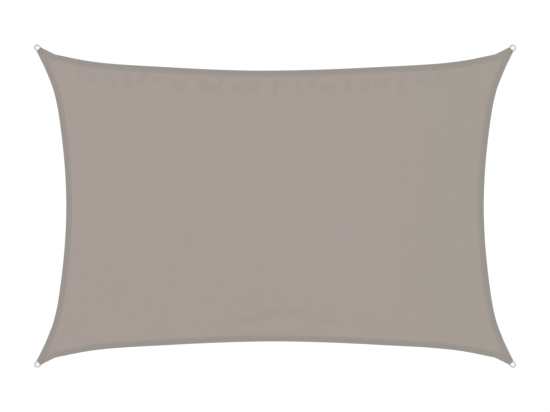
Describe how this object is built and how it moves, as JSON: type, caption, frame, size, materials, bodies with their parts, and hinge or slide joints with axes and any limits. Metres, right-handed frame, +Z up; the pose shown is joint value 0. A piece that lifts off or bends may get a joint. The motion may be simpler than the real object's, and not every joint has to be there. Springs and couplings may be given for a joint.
{
  "type": "shade sail",
  "caption": "Rectangular knitted cloth shade sail with inward-curving hemmed edges and a steel D-ring sewn into each corner, laid out flat.",
  "frame": {"origin": "on the surface that the sail lies on, under the middle of its outside box, rings included", "axes": "+X along the sail's length, +Y along its width, towards the top of the picture, +Z up out of the cloth"},
  "size_m": [2.999, 2.0104, 0.0086],
  "materials": {
    "knitted_cloth": "knitted, matt",
    "polished_steel": "polished"
  },
  "bodies": {
    "root": {"sail_cloth": "knitted_cloth", "d_ring_front_left": "polished_steel", "d_ring_front_right": "polished_steel", "d_ring_back_right": "polished_steel", "d_ring_back_left": "polished_steel"}
  },
  "joints": []
}
